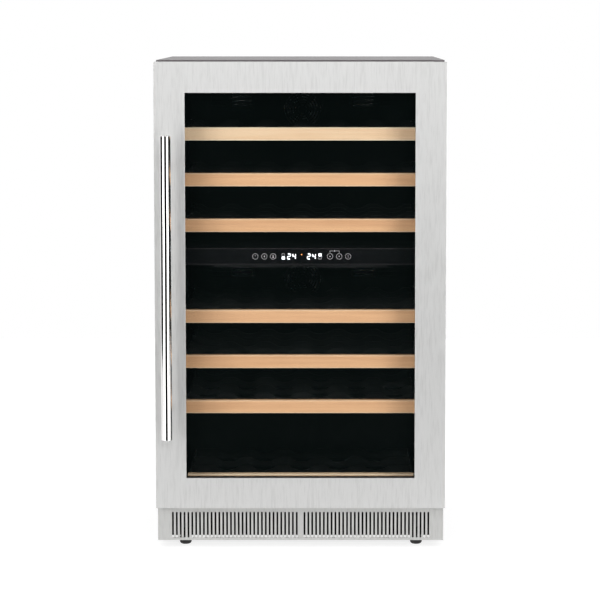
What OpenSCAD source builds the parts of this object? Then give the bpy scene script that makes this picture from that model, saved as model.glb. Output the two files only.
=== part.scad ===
// Two-zone built-in wine cooler: insulated cabinet, glazed steel-framed door, six pull-out
// steel racks with beech fronts, a fixed bottom rack, and a compressor bay behind a slotted plinth.
// Frame: +X to the right seen from the front, +Y towards the back, +Z up.
// Origin: on the floor, in the middle of the overall width and depth (handle included).

/* [Cabinet] */
// Outer width of the cabinet
cabinet_w = 590; // [490:1:710]
// Overall height from the floor to the top sheet
cabinet_h = 1006; // [835:1:1210]
// Depth of the cabinet behind the door seal
cabinet_d = 527; // [440:1:640]
// Insulated wall, from the outer sheet to the inside of the liner
wall = 39; // [32:1:47]
// Thickness of the outer steel sheets
sheet = 1.2; // [0.8:0.1:1.5]
// Thickness of the moulded liners
liner_t = 2; // [1.5:0.1:2.5]
// Insulation under the lower zone and over the compressor bay
floor_foam = 28; // [22:1:34]

/* [Plinth] */
// Clear height under the slotted plinth plate
foot_gap = 15.5; // [12:0.5:19]
// Height of the slotted plinth plate
kick_h = 67.5; // [56:0.5:81]
// How far the plinth plate stands back from the door's face
kick_setback = 18; // [14:1:22]
// Width of one air slot
slot_w = 3.6; // [3:0.1:4.4]
// Distance between air slots
slot_pitch = 8; // [6.6:0.1:8.4]
// Air slots in each of the two groups
slots_per_group = 33; // [20:1:33]
// Radius of a foot's pad
foot_r = 12.5; // [10:0.5:15]
// Distance that a foot can be screwed out
foot_travel = 25; // [20:1:30]

/* [Door] */
// Width of the steel face on all four sides
face_w = 63; // [54:0.5:76]
// Thickness of the door without its seal
door_t = 38; // [34:1:45]
// Gap that the seal closes
seal_gap = 8; // [7:0.5:10]
// Thickness of one glass pane
pane_t = 4; // [3:0.5:5]
// Gap between the panes
pane_gap = 12; // [10:1:14]
// How far the outer pane sits behind the steel face
glass_recess = 4; // [3:0.5:5]
// Distance from the door's edge to the hinge pin
hinge_inset = 12.5; // [12:0.5:15]
// Radius of the hinge pins
pin_r = 4; // [3.3:0.1:4.8]
// Running clearance around a hinge pin
pin_clear = 0.08; // [0.05:0.01:0.1]

/* [Handle] */
// Diameter of the handle tube
handle_d = 22; // [18:1:26]
// Length of the handle tube
handle_l = 620; // [500:1:744]
// Finger gap between the door and the tube
handle_gap = 26; // [22:1:34]
// Distance from the door's edge to the handle's axis
handle_inset = 26; // [22:1:32]
// Distance from a tube end to its post
post_inset = 60; // [50:1:72]

/* [Shelves] */
// Height of a shelf's front board
board_h = 27; // [23:1:32]
// Thickness of a shelf's front board
board_t = 18; // [15:1:21]
// Distance between neighbouring bottles
bottle_pitch = 79; // [66:1:79]
// Radius of the bottle cradles
cradle_r = 42; // [38:1:50]
// How far the cradles lie below the top of the front board
cradle_drop = 14; // [12:1:16]
// Thickness of a rack's steel plates
plate_t = 2; // [1.5:0.1:3]
// Cradle plates on one shelf
cradle_count = 5; // [4:1:6]
// Clear height over the top shelf's front board
top_clear = 99; // [85:1:120]
// Height of the bottom bay, from the liner's floor to the top of the lowest shelf's front board
bottom_bay = 184.5; // [170:0.5:215]
// Thickness of the insulated divider between the zones
divider_t = 35; // [30:1:42]
// Gap between the divider and the front board above it
divider_gap = 32.5; // [26:0.5:38]

/* [Air and cooling] */
// Depth of the air duct behind the inner back wall
duct_d = 29; // [27:1:35]
// Outer radius of the circulation fans' guard rings
guard_r = 42; // [36:1:48]
// Size of the square frame of a circulation fan
fan_size = 80; // [70:1:90]
// Size of the square frame of the condenser fan
condenser_fan_size = 110; // [92:1:130]
// Depth of the compressor bay
bay_d = 173; // [160:1:200]
// Height of the compressor bay above the base plate
bay_h = 208; // [196:1:230]
// Radius of the compressor's can
compressor_r = 66; // [55:1:72]

/* [Hidden] */
$fn = 64;
shelf_count = 6;
SHELVES = [for (i = [1:shelf_count]) str("shelf_", i)];
RACKS = [for (i = [1:shelf_count]) str("shelf_", i, "_rack")];
FEET = ["foot_front_left", "foot_front_right", "foot_rear_left", "foot_rear_right"];
CABINET = ["side_panel_left", "side_panel_right", "top_panel", "rear_panel", "rear_grille",
    "base_plate", "bay_sheet", "kick_plate", "front_frame", "insulation", "liner_upper",
    "liner_lower", "control_panel", "display_board", "compressor",
    "compressor_mounts", "condenser",
    "condenser_fan_frame", "drip_tray", "control_box", "power_inlet", "refrigerant_pipes",
    "evaporators", "duct_cover_upper", "duct_cover_lower", "circulation_fan_frames",
    "led_bars", "shelf_rails", "bottom_board", "bottom_rack", "hinge_brackets", "screws"];
ROTORS = ["fan_rotor_upper", "fan_rotor_lower", "condenser_fan_rotor"];
DOOR = ["door_frame", "glass_outer", "glass_inner", "glass_spacer", "door_inner_frame",
    "gasket", "handle_bar", "handle_posts", "hinge_bushes"];

// Colours
black_steel = [0.07, 0.07, 0.075];
black_plastic = [0.05, 0.05, 0.055];
steel = [0.78, 0.78, 0.77];
zinc = [0.62, 0.63, 0.64];
beech = [0.93, 0.76, 0.58];
foam = [0.92, 0.87, 0.7];
copper = [0.72, 0.43, 0.28];
glass_tint = [0.1, 0.11, 0.11, 0.35];

// Depth positions, measured from the door's face with at_depth()
handle_out = handle_gap + handle_d;
screw_h = 2;
overall_d = handle_out + door_t + seal_gap + cabinet_d + screw_h;
face_y = handle_out - overall_d / 2;
cabinet_front = door_t + seal_gap;
cabinet_back = cabinet_front + cabinet_d;
frame_t = 2;
front_in = cabinet_front + frame_t;
back_in = cabinet_back - wall;
duct_front = back_in - duct_d;
cover_t = 3;
shelf_setback = 4;
shelf_front = cabinet_front + shelf_setback;
shelf_back_gap = 9;
shelf_d = duct_front - shelf_back_gap - shelf_front;

// Heights
touch_gap = 3;
slot_margins = [5.5, 8.4];
door_bottom = foot_gap + kick_h + touch_gap;
door_top = cabinet_h - touch_gap;
base_t = 2;
base_lift = 4;
base_z = foot_gap + base_lift;
base_top = base_z + base_t;
floor_lift = 2;
floor_out = door_bottom + floor_lift;
floor_in = floor_out + floor_foam + liner_t;
ceiling_in = cabinet_h - wall;
step_out = base_top + bay_h;
step_in = step_out + floor_foam + liner_t;
lowest_board = floor_in + bottom_bay;
highest_board = ceiling_in - top_clear;
// Level of each shelf in steps of shelf_pitch; the divider takes the place of level 3
levels = [6, 5, 4, 2, 1, 0];
shelf_pitch = (highest_board - lowest_board) / levels[0];
function board_top(i) = lowest_board + levels[i] * shelf_pitch;
divider_top = board_top(2) - board_h - divider_gap;
divider_bottom = divider_top - divider_t;

// Widths
door_overhang = 2.5;
door_w = cabinet_w + 2 * door_overhang;
liner_half = cabinet_w / 2 - wall;
liner_outer_half = liner_half + liner_t;
sheet_half = cabinet_w / 2 - sheet;
side_fold = 14;
rail_w = 12;
shelf_half = liner_half - rail_w;
rack_side_gap = 21;
rack_half = liner_half - rack_side_gap;
board_space = 8;
boss_l = 2;

// Hinge axis
hinge_x = door_w / 2 - hinge_inset;
hinge_depth = 22;
leaf_t = 3;
leaf_half = 11;
pocket_h = 6;
leaf_gap = 1.2;
pin_l = 18;
bush_r = pin_r + 3;
screw_r = 3.4;

// Compressor bay
bay_front = cabinet_back - bay_d;
bay_middle = (bay_front + cabinet_back) / 2;
compressor_x = liner_half / 2 + 6;
mount_h = 14;
compressor_z = base_top + mount_h;
compressor_h = 158;
mount_span = 104;
stub_h = 95;
stub_l = 12;
foot_inset = 55;
foot_x = cabinet_w / 2 - foot_inset;
stem_r = 5;
stem_clear = 0.3;
boss_r = stem_r + 4;
front_foot_depth = front_in + sheet + boss_r + 0.8;
rear_foot_depth = cabinet_back - 30;
stem_spare = 12;
stem_top = base_top + foot_travel + stem_spare;
condenser_l = 118;
condenser_h = 120;
condenser_inset = 32;
condenser_x = -liner_half + condenser_inset;
fan_x = -8;
fan_t = 22;
grille_x = [-liner_half + 30, -20];
inlet_size = [50, 26, 34];
inlet_inset = 22;
inlet_x = liner_half - inlet_inset;
inlet_gap = 8;
inlet_z = stem_top + inlet_gap + inlet_size[2] / 2;

function at_depth(d) = face_y + d;

// A block between two corners, with its depths measured from the door's face
module block(x, d, z) {
    translate([x[0], at_depth(d[0]), z[0]]) cube([x[1] - x[0], d[1] - d[0], z[1] - z[0]]);
}

// The same block on both sides of the cabinet
module pair(x, d, z) {
    block(x, d, z);
    block([-x[1], -x[0]], d, z);
}

// A side view, with points [depth, height], extruded across the width
module across(points, x) {
    translate([x[0], face_y, 0])
        rotate([90, 0, 90])
            linear_extrude(x[1] - x[0]) polygon(points);
}

// A plan view, with points [x, depth], extruded upwards
module upwards(points, z) {
    translate([0, face_y, z[0]]) linear_extrude(z[1] - z[0]) polygon(points);
}

// A cylinder along the depth, starting at depth d
module along_y(x, d, z, r, l) {
    translate([x, at_depth(d), z]) rotate([-90, 0, 0]) cylinder(r = r, h = l);
}

// A hollow outline: rounded tube around a path of points, with rings square to its bends
function unit(v) = v / norm(v);
function tangent(p, i) = unit(
    (i < len(p) - 1 ? unit(p[i + 1] - p[i]) : [0, 0, 0]) + (i > 0 ? unit(p[i] - p[i - 1]) : [0, 0, 0]));
function side_of(t) = abs(t[2]) < 0.9 ? unit(cross([0, 0, 1], t)) : unit(cross([0, 1, 0], t));
function ring(c, t, r, n) = [for (k = [0:n - 1])
    c + r * (cos(360 * k / n) * side_of(t) + sin(360 * k / n) * cross(t, side_of(t)))];
// Each corner of the path becomes a bend of steps rings
function bend(a, b, c, r, steps) = [for (k = [0:steps])
    let (u = k / steps, p = b + r * unit(a - b), q = b + r * unit(c - b))
    (1 - u) * (1 - u) * p + 2 * u * (1 - u) * b + u * u * q];
function smooth(p, r, steps) = concat([p[0]],
    [for (i = [1:len(p) - 2]) each bend(p[i - 1], p[i], p[i + 1], r, steps)], [p[len(p) - 1]]);

module pipe(path, r, bend_r = 14, sides = 10, steps = 4) {
    p = smooth(path, bend_r, steps);
    n = len(p);
    points = [for (i = [0:n - 1]) each ring(p[i], tangent(p, i), r, sides)];
    walls = [for (i = [0:n - 2]) for (k = [0:sides - 1]) let (m = (k + 1) % sides)
        each [[i * sides + k, i * sides + m, (i + 1) * sides + m],
              [i * sides + k, (i + 1) * sides + m, (i + 1) * sides + k]]];
    ends = [[for (k = [sides - 1:-1:0]) k], [for (k = [0:sides - 1]) (n - 1) * sides + k]];
    polyhedron(points, [for (f = concat(walls, ends)) [for (k = [len(f) - 1:-1:0]) f[k]]]);
}

// ---- Cabinet ----

// A folded side sheet with a return at the front and at the back
module side_sheet(side) {
    outer = cabinet_w / 2;
    inner = outer - side_fold;
    points = [[outer, front_in], [outer, cabinet_back], [inner, cabinet_back],
        [inner, cabinet_back - sheet], [outer - sheet, cabinet_back - sheet],
        [outer - sheet, front_in + sheet], [inner, front_in + sheet], [inner, front_in]];
    color(black_steel)
        mirror([side < 0 ? 1 : 0, 0, 0]) upwards(points, [base_z, cabinet_h - sheet]);
}

top_lip = 18;

module top_panel() {
    rear_lip = 12;
    points = [[cabinet_front, cabinet_h - top_lip], [cabinet_front + frame_t, cabinet_h - top_lip],
        [cabinet_front + frame_t, cabinet_h - sheet], [cabinet_back, cabinet_h - sheet],
        [cabinet_back, cabinet_h - rear_lip], [cabinet_back + sheet, cabinet_h - rear_lip],
        [cabinet_back + sheet, cabinet_h], [cabinet_front, cabinet_h]];
    color(black_steel) across(points, [-cabinet_w / 2, cabinet_w / 2]);
}

module rear_panel() {
    color(zinc) block([-sheet_half + side_fold, sheet_half - side_fold],
        [cabinet_back - sheet, cabinet_back], [step_out, cabinet_h - sheet]);
}

module rear_grille() {
    slot = 5;
    pitch = 11;
    rows = floor((grille_x[1] - grille_x[0]) / pitch);
    color(black_plastic) difference() {
        block([-sheet_half + side_fold, sheet_half - side_fold], [cabinet_back - sheet, cabinet_back],
            [base_top, step_out]);
        for (i = [0:rows - 1])
            block([grille_x[0] + i * pitch, grille_x[0] + i * pitch + slot],
                [cabinet_back - 3, cabinet_back + 1], [base_top + 30, step_out - 40]);
        block([inlet_x - inlet_size[0] / 2, inlet_x + inlet_size[0] / 2],
            [cabinet_back - 3, cabinet_back + 1],
            [inlet_z - inlet_size[2] / 2, inlet_z + inlet_size[2] / 2]);
    }
}

function foot_at(i) = [(i % 2 == 0 ? -1 : 1) * foot_x, i < 2 ? front_foot_depth : rear_foot_depth];

module base_plate() {
    boss_h = 16;
    color(zinc) difference() {
        union() {
            block([-sheet_half, sheet_half], [front_in + sheet, cabinet_back - sheet],
                [base_z, base_top]);
            for (i = [0:3])
                translate([foot_at(i)[0], at_depth(foot_at(i)[1]), base_z])
                    cylinder(r = boss_r, h = boss_h);
        }
        for (i = [0:3])
            translate([foot_at(i)[0], at_depth(foot_at(i)[1]), base_z - 1])
                cylinder(r = stem_r + stem_clear, h = boss_h + 2);
    }
}

// The sheet under the foam: below the floor, up the front of the bay and over the compressor
module bay_sheet() {
    front = front_in + sheet;
    back = cabinet_back - sheet;
    color(zinc) across([[front, floor_out - sheet], [bay_front + sheet, floor_out - sheet],
        [bay_front + sheet, step_out - sheet], [back, step_out - sheet], [back, step_out],
        [bay_front, step_out], [bay_front, floor_out], [front, floor_out]],
        [-sheet_half, sheet_half]);
}

// Two groups of upright air slots with round ends, either side of a plain strip
module kick_plate() {
    half = cabinet_w / 2;
    front = kick_setback;
    slot_z = [foot_gap + slot_margins[0] + slot_w / 2,
        foot_gap + kick_h - slot_margins[1] - slot_w / 2];
    color(steel) difference() {
        upwards([[-half, front], [half, front], [half, front_in], [half - sheet, front_in],
            [half - sheet, front + sheet], [-half + sheet, front + sheet],
            [-half + sheet, front_in], [-half, front_in]], [foot_gap, foot_gap + kick_h]);
        for (side = [-1, 1]) for (i = [1:slots_per_group]) let (x = side * i * slot_pitch) {
            block([x - slot_w / 2, x + slot_w / 2], [front - 1, front + sheet + 1], slot_z);
            for (z = slot_z) along_y(x, front - 1, z, slot_w / 2, sheet + 2);
        }
    }
}

module front_frame() {
    color(black_plastic) {
        pair([liner_half + 0.01, cabinet_w / 2], [cabinet_front, front_in],
            [door_bottom, cabinet_h - top_lip]);
        block([-liner_half, liner_half], [cabinet_front, front_in], [door_bottom, floor_in]);
        block([-liner_half, liner_half], [cabinet_front, front_in],
            [ceiling_in, cabinet_h - top_lip]);
    }
}

module insulation() {
    front = front_in + sheet;
    back = cabinet_back - sheet;
    seam = 0.01;
    step_front = bay_front - floor_foam;
    color(foam) {
        // Side walls, cut away over the compressor bay
        pair([liner_outer_half + seam, sheet_half - seam], [front, bay_front - seam],
            [floor_out, cabinet_h - sheet]);
        pair([liner_outer_half + seam, sheet_half - seam], [bay_front, back],
            [step_out, cabinet_h - sheet]);
        // Ceiling, back, floor, and the step over the compressor
        block([-liner_outer_half, liner_outer_half], [front, back],
            [ceiling_in + liner_t, cabinet_h - sheet]);
        block([-liner_outer_half, liner_outer_half], [back_in + liner_t, back],
            [step_out, ceiling_in + liner_t - seam]);
        block([-liner_outer_half, liner_outer_half], [front, bay_front - seam],
            [floor_out, floor_in - liner_t]);
        block([-liner_outer_half, liner_outer_half], [step_front, bay_front - seam],
            [floor_in - liner_t + seam, step_in - liner_t]);
        block([-liner_outer_half, liner_outer_half], [bay_front, back_in + liner_t - seam],
            [step_out, step_in - liner_t]);
        // Divider between the two liners, behind the display board's space
        block([-liner_outer_half, liner_outer_half],
            [front_in + board_space, back_in + liner_t - seam],
            [divider_bottom + liner_t, divider_top - liner_t]);
    }
}

module liner_upper() {
    color(black_plastic) difference() {
        block([-liner_outer_half, liner_outer_half], [front_in, back_in + liner_t],
            [divider_top - liner_t, ceiling_in + liner_t]);
        block([-liner_half, liner_half], [front_in - 1, back_in], [divider_top, ceiling_in]);
    }
}

module liner_lower() {
    step = bay_front - floor_foam;
    color(black_plastic) difference() {
        across([[front_in, floor_in - liner_t], [step, floor_in - liner_t],
            [step, step_in - liner_t], [back_in + liner_t, step_in - liner_t],
            [back_in + liner_t, divider_bottom + liner_t], [front_in, divider_bottom + liner_t]],
            [-liner_outer_half, liner_outer_half]);
        across([[front_in - 1, floor_in], [step - liner_t, floor_in],
            [step - liner_t, step_in], [back_in, step_in],
            [back_in, divider_bottom], [front_in - 1, divider_bottom]],
            [-liner_half, liner_half]);
    }
}

// The touch panel across the divider, with a raised lip along its upper and lower edges
module control_panel() {
    lip = 2.6;
    lip_out = 1.2;
    front = cabinet_front;
    middle = (divider_top + divider_bottom) / 2;
    color(black_plastic) {
        across([[front - lip_out, divider_bottom], [front_in, divider_bottom],
            [front_in, divider_top], [front - lip_out, divider_top],
            [front - lip_out, divider_top - lip], [front, divider_top - lip],
            [front, divider_bottom + lip], [front - lip_out, divider_bottom + lip]],
            [-liner_half + 0.1, liner_half - 0.1]);
        for (x = [-1, 1]) for (z = [-1, 1])
            along_y(x * 90, front_in - 1, middle + z * 8, 2.5, boss_l + 1);
    }
}

module display_board() {
    middle = (divider_top + divider_bottom) / 2;
    front = front_in + boss_l;
    color([0.06, 0.25, 0.14]) {
        block([-98, 98], [front, front + 1.6], [middle - 12, middle + 12]);
        // Driver chip and plug socket on the back
        block([-30, -10], [front + 1.6, front + 3.4], [middle - 6, middle + 6]);
        block([60, 82], [front + 1.6, front + 5.5], [middle - 5, middle + 5]);
    }
}

// ---- Compressor bay ----

module compressor() {
    r = compressor_r;
    dome = 34;
    profile = concat([[0, 0], [r - 12, 0]],
        [for (a = [-90:15:0]) [r - 12 + 12 * cos(a), 12 + 12 * sin(a)]],
        [[r, compressor_h - dome]],
        [for (a = [10:10:90]) [r * cos(a), compressor_h - dome + dome * sin(a)]]);
    plate = mount_span + 26;
    color(black_steel) {
        translate([compressor_x, at_depth(bay_middle), compressor_z]) {
            rotate_extrude() polygon(profile);
            for (side = [-1, 1]) translate([side * (compressor_r - 8), side * 20, stub_h])
                rotate([0, side * 90, 0]) cylinder(r = 5, h = stub_l + 8);
        }
        difference() {
            translate([compressor_x, at_depth(bay_middle), compressor_z - 2])
                translate([-plate / 2, -plate / 2, 0]) cube([plate, plate, 3]);
            for (x = [-1, 1]) for (y = [-1, 1])
                translate([compressor_x + x * mount_span / 2,
                    at_depth(bay_middle) + y * mount_span / 2, compressor_z - 3])
                    cylinder(r = 5, h = 6);
        }
    }
}

module compressor_mounts() {
    h = compressor_z - 2 - base_top;
    color([0.1, 0.1, 0.1])
        for (x = [-1, 1]) for (y = [-1, 1])
            translate([compressor_x + x * mount_span / 2,
                at_depth(bay_middle) + y * mount_span / 2, base_top]) {
                cylinder(r = 10, h = h);
                cylinder(r = 4.8, h = h + 5);
            }
}

module condenser() {
    fins = 14;
    fin_t = 1;
    d = [bay_middle - 45, bay_middle + 45];
    rows = 4;
    color(zinc) {
        for (i = [0:fins - 1])
            let (x = condenser_x + i * (condenser_l - fin_t) / (fins - 1))
            block([x, x + fin_t], d, [base_top, base_top + condenser_h]);
        for (i = [0:rows - 1]) for (k = [-1, 1])
            translate([condenser_x - 6, at_depth(bay_middle + k * 22),
                base_top + condenser_h * (i + 0.5) / rows])
                rotate([0, 90, 0]) cylinder(r = 4, h = condenser_l + 12);
    }
}

// A square axial fan frame with its motor carrier; its axis is Z and its front is at z = 0
module fan_frame(size, depth) {
    bore = size / 2 - 2;
    carrier_t = 3;
    difference() {
        translate([-size / 2, -size / 2, 0]) cube([size, size, depth]);
        difference() {
            translate([0, 0, -1]) cylinder(r = bore, h = depth + 2);
            translate([0, 0, depth - carrier_t]) cylinder(r = size / 5, h = carrier_t);
            for (a = [45, 135]) rotate(a)
                translate([-bore - 1, -2.5, depth - carrier_t]) cube([2 * bore + 2, 5, carrier_t]);
        }
        translate([0, 0, depth - carrier_t - 1]) cylinder(r = 1.58, h = carrier_t + 2);
        for (x = [-1, 1]) for (y = [-1, 1])
            translate([x * (size / 2 - 5), y * (size / 2 - 5), -1]) cylinder(r = 2.2, h = depth + 2);
    }
}

// The bladed wheel of such a fan, with its shaft in the carrier's bore
module fan_rotor(size, depth) {
    hub = size / 5;
    tip = size / 2 - 4.5;
    blade_w = depth - 8;
    translate([0, 0, 2]) cylinder(r = hub, h = depth - 6);
    translate([0, 0, depth - 5]) cylinder(r = 1.5, h = 5);
    for (k = [0:6]) rotate(k * 360 / 7)
        translate([hub - 1, 0, 2 + (depth - 6) / 2]) rotate([38, 0, 0])
            translate([0, -0.8, -blade_w / 2]) cube([tip - hub + 1, 1.6, blade_w]);
}

module condenser_fan_place() {
    translate([fan_x, at_depth(bay_middle), base_top + condenser_fan_size / 2]) rotate([0, 90, 0])
        children();
}

module condenser_fan_frame() {
    color(black_plastic) condenser_fan_place() fan_frame(condenser_fan_size, fan_t);
}

module condenser_fan_rotor() {
    color(black_plastic) condenser_fan_place() fan_rotor(condenser_fan_size, fan_t);
}

module drip_tray() {
    size = 96;
    h = 14;
    t = 2;
    z = compressor_z + compressor_h + 3;
    color([0.85, 0.85, 0.83]) translate([compressor_x - size / 2, at_depth(bay_middle) - size / 2, z])
        difference() {
            cube([size, size, h]);
            translate([t, t, t]) cube([size - 2 * t, size - 2 * t, h]);
        }
}

module control_box() {
    w = 90;
    h = 42;
    rim = 2;
    x = condenser_x + 8;
    z = base_top + condenser_h + 14;
    d = [bay_middle - 50, bay_middle + 50];
    color([0.8, 0.8, 0.78]) {
        block([x, x + w], d, [z, z + h]);
        // Lid with an overhanging rim
        block([x - rim, x + w + rim], [d[0] - rim, d[1] + rim], [z + h, z + h + 6]);
    }
}

inlet_recess = 18;

module power_inlet() {
    w = inlet_size[0];
    h = inlet_size[2];
    color(black_plastic) {
        difference() {
            block([inlet_x - w / 2 + 0.3, inlet_x + w / 2 - 0.3],
                [cabinet_back - inlet_size[1], cabinet_back + sheet],
                [inlet_z - h / 2 + 0.3, inlet_z + h / 2 - 0.3]);
            block([inlet_x - 14, inlet_x + 14],
                [cabinet_back + sheet - inlet_recess, cabinet_back + sheet + 1],
                [inlet_z - 10, inlet_z + 10]);
        }
        for (p = [[-7, -3], [0, 3], [7, -3]])
            block([inlet_x + p[0] - 1, inlet_x + p[0] + 1],
                [cabinet_back + sheet - inlet_recess - 1, cabinet_back + sheet - 8],
                [inlet_z + p[1] - 2, inlet_z + p[1] + 2]);
    }
}

module refrigerant_pipes() {
    mid = at_depth(bay_middle);
    row_h = condenser_h / 4;
    reach = compressor_r + stub_l;
    tube_end = condenser_x + condenser_l + 6;
    bay_top = step_out - sheet;
    high = bay_top - 26;
    color(copper) {
        // Hot gas: from the compressor, over the fan, into the condenser's top tube
        pipe([[compressor_x - reach, mid - 20, compressor_z + stub_h],
            [compressor_x - reach - 24, mid - 20, compressor_z + stub_h],
            [compressor_x - reach - 24, mid - 20, high], [tube_end + 30, mid - 22, high],
            [tube_end + 30, mid - 22, base_top + 3.5 * row_h],
            [tube_end, mid - 22, base_top + 3.5 * row_h]], 3.5);
        // Liquid: from the condenser's lowest tube, up through the filter drier
        pipe([[tube_end, mid + 22, base_top + 0.5 * row_h],
            [tube_end + 40, mid + 22, base_top + 0.5 * row_h],
            [tube_end + 40, mid + 22, bay_top]], 2.5);
        translate([tube_end + 40, mid + 22, base_top + condenser_h * 0.6]) cylinder(r = 9, h = 70);
        // Cold gas: from the evaporators, back to the compressor
        pipe([[compressor_x + reach, mid + 20, compressor_z + stub_h],
            [compressor_x + reach + 18, mid + 20, compressor_z + stub_h],
            [compressor_x + reach + 18, mid + 20, bay_top]], 4);
    }
}

// ---- Air circulation ----

fan_drop = 78;
function fan_z(zone) = (zone == 0 ? ceiling_in : divider_bottom) - fan_drop;
zone_floor = [divider_top, step_in];
zone_ceiling = [ceiling_in, divider_bottom];

module evaporators() {
    half = liner_half * 0.62;
    t = 2.5;
    color(zinc) for (zone = [0, 1]) {
        low = zone_floor[zone] + 25;
        high = zone_ceiling[zone] - 20;
        block([-half, half], [back_in - t, back_in], [low, high]);
        for (i = [0:6])
            let (z = low + (high - low) * (i + 0.5) / 7)
            block([-half + 8, half - 8], [back_in - t - 1.5, back_in - t + 0.5], [z - 3, z + 3]);
    }
}

// Inner back wall of a zone: ring-shaped guard slots over the fan, and rows of outlet slots
module duct_cover(zone) {
    ring_step = 6;
    slot = 3.2;
    spoke = 3;
    z0 = zone_floor[zone] + 0.5;
    z1 = zone_ceiling[zone] - 0.5;
    color(black_plastic) difference() {
        block([-liner_half + 0.5, liner_half - 0.5], [duct_front, duct_front + cover_t], [z0, z1]);
        difference() {
            translate([0, at_depth(duct_front - 1), fan_z(zone)]) rotate([-90, 0, 0])
                for (r = [8:ring_step:guard_r - slot]) difference() {
                    cylinder(r = r + slot, h = cover_t + 2);
                    translate([0, 0, -1]) cylinder(r = r, h = cover_t + 4);
                }
            for (a = [0, 60, 120])
                translate([0, at_depth(duct_front), fan_z(zone)]) rotate([0, a, 0])
                    cube([2 * guard_r + 10, 4 * cover_t, spoke], center = true);
        }
        for (x = [-1, 1]) for (k = [0:4])
            let (z = z1 - 34 - 9 * k)
            block([x * liner_half * 0.62 - 45, x * liner_half * 0.62 + 45],
                [duct_front - 1, duct_front + cover_t + 1], [z, z + 4]);
    }
}

module circulation_fan_place(zone) {
    translate([0, at_depth(duct_front + cover_t + 0.3), fan_z(zone)]) rotate([-90, 0, 0]) children();
}

circulation_fan_t = 20;

module circulation_fan_frames() {
    color(black_plastic) for (zone = [0, 1])
        circulation_fan_place(zone) fan_frame(fan_size, circulation_fan_t);
}

module circulation_fan_rotor(zone) {
    color(black_plastic) circulation_fan_place(zone) fan_rotor(fan_size, circulation_fan_t);
}

module led_bars() {
    half = liner_half * 0.7;
    color([0.12, 0.12, 0.13]) for (zone = [0, 1])
        block([-half, half], [front_in + 22, front_in + 38],
            [zone_ceiling[zone] - 8, zone_ceiling[zone]]);
}

// ---- Shelves ----

rail_h = 24;
rail_start = 44;
rail_end_gap = 10;
rail_l = shelf_d - rail_start - rail_end_gap;

// Fixed outer members of the slides: C-channels on the liner's side walls
module shelf_rails() {
    t = 1.5;
    x0 = shelf_half + 2;
    x1 = liner_half;
    color(zinc) for (i = [0:shelf_count - 1]) let (z = board_top(i) - 1) {
        for (side = [0, 1]) mirror([side, 0, 0])
            translate([0, at_depth(shelf_front + rail_start - 8), 0]) rotate([-90, 0, 0])
                linear_extrude(rail_l) polygon([[x0, -z], [x1, -z], [x1, rail_h - z],
                    [x0, rail_h - z], [x0, rail_h - t - z], [x1 - t, rail_h - t - z],
                    [x1 - t, t - z], [x0, t - z]]);
    }
}

// One upright cradle plate across a rack, with a round notch for each bottle
module cradle_plate(half, d, top, low) {
    bottles = floor(2 * half / bottle_pitch);
    difference() {
        block([-half, half], [d, d + plate_t], [low, top - 3]);
        for (k = [0:bottles - 1])
            along_y((k - (bottles - 1) / 2) * bottle_pitch, d - 1,
                top - cradle_drop + cradle_r, cradle_r, plate_t + 2);
    }
}

// A welded steel rack: side plates with cradle plates between them, behind a front board
module rack_frame(half, top, depth, cradles, foot) {
    low = top - board_h + 2;
    start = shelf_front + board_t;
    gap = (shelf_front + depth - plate_t - start) / (cradles - 1);
    pair([half - plate_t, half], [start, shelf_front + depth], [foot, top - 4]);
    for (k = [0:cradles - 1])
        cradle_plate(half - plate_t / 2, start + k * gap, top, low);
}

module front_board(half, top) {
    color(beech) block([-half, half], [shelf_front, shelf_front + board_t], [top - board_h, top]);
}

module shelf(i) {
    front_board(shelf_half, board_top(i));
}

// A shelf's rack, with the slides' moving channels on its side plates
module shelf_rack(i) {
    t = 1.5;
    h = 16;
    x0 = shelf_half;
    x1 = liner_half - 3;
    z = board_top(i) - 1 - (rail_h - h) / 2;
    color(black_steel) {
        rack_frame(shelf_half, board_top(i), shelf_d, cradle_count, board_top(i) - board_h + 2);
        for (side = [0, 1]) mirror([side, 0, 0])
            translate([0, at_depth(shelf_front + rail_start), 0]) rotate([-90, 0, 0])
                linear_extrude(rail_l) polygon([[x0 - 0.5, -z], [x1, -z], [x1, t - z],
                    [x0 + t, t - z], [x0 + t, h - t - z], [x1, h - t - z],
                    [x1, h - z], [x0 - 0.5, h - z]]);
    }
}

rack_lift = 30;
rack_top = floor_in + rack_lift;

module bottom_board() {
    front_board(rack_half, rack_top);
}

module bottom_rack() {
    depth = bay_front - floor_foam - liner_t - 5 - shelf_front;
    color(black_steel) rack_frame(rack_half, rack_top, depth, cradle_count - 1, floor_in);
}

// ---- Hinges ----

// End 0 is the upper hinge and end 1 the lower one; both are drawn as the upper one,
// hanging from z = 0 at the door's end face, with the hinge axis at x = y = 0
module at_hinge(end) {
    translate([hinge_x, at_depth(hinge_depth), end == 0 ? door_top : door_bottom])
        mirror([0, 0, end]) children();
}

module hinge_bracket() {
    reach = cabinet_front - hinge_depth;
    leg_h = 14;
    inner = 20;
    outer = cabinet_w / 2 - hinge_x;
    top = -leaf_gap;
    difference() {
        union() {
            translate([0, 0, top - leaf_t]) cylinder(r = leaf_half, h = leaf_t);
            translate([-leaf_half, 0, top - leaf_t]) cube([leaf_half + outer, reach, leaf_t]);
            translate([-inner, reach - leaf_t, top - leg_h]) cube([inner + outer, leaf_t, leg_h]);
        }
        for (x = [-inner + 6, outer - 6]) translate([x, reach - leaf_t, top - leg_h / 2])
            rotate([-90, 0, 0]) {
                translate([0, 0, -1]) cylinder(r = screw_r + 0.2, h = 1 + screw_h + 0.2);
                cylinder(r = 2.2, h = leaf_t + 1);
            }
    }
    translate([0, 0, top - leaf_t - pin_l]) cylinder(r = pin_r, h = pin_l + leaf_t);
}

module hinge_brackets() {
    color(zinc) for (end = [0, 1]) at_hinge(end) hinge_bracket();
}

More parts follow.
